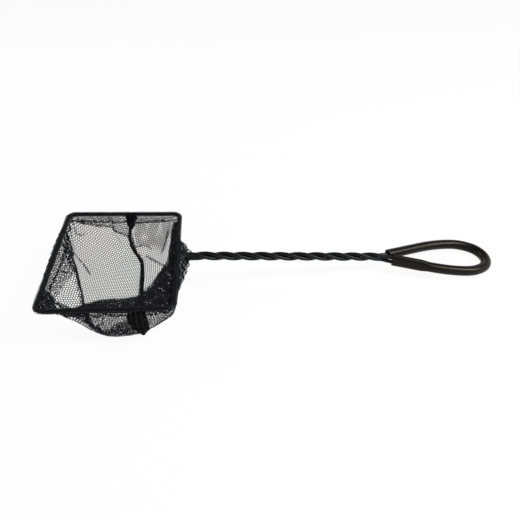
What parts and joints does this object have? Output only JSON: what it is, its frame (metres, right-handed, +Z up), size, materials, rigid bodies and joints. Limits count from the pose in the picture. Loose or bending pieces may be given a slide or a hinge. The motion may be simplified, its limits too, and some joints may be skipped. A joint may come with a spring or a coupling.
{
  "type": "aquarium fish net",
  "caption": "Small fish net: coated wire frame with a mesh bag sewn round its mouth, a twisted wire handle and a tube-covered hanging loop.",
  "frame": {"origin": "middle of the footprint, on the table that the net lies on", "axes": "+X along the handle from the mouth to the hanging loop, +Y across the mouth to the far side, +Z up"},
  "size_m": [0.3912, 0.1316, 0.0475],
  "materials": {
    "wire_core": "satin",
    "black_vinyl": "gloss",
    "grip_vinyl": "satin",
    "hem_mesh": "matte",
    "sewing_thread": "matte",
    "bag_mesh": "matte",
    "seam_mesh": "matte"
  },
  "bodies": {
    "frame": {"steel_wire": "wire_core", "vinyl_coating": "black_vinyl", "grip_tube": "grip_vinyl", "hem_casing": "hem_mesh", "hem_stitching": "sewing_thread"},
    "bag": {"front_panel": "bag_mesh", "rear_panel": "bag_mesh", "bag_seam": "seam_mesh", "seam_tail": "seam_mesh"}
  },
  "joints": [
    {"name": "bag_drop", "type": "slide", "parent": "frame", "child": "bag", "axis": [0, 0, -1], "range_m": [0, 0.025], "deforming": ["front_panel", "rear_panel", "bag_seam"]}
  ]
}
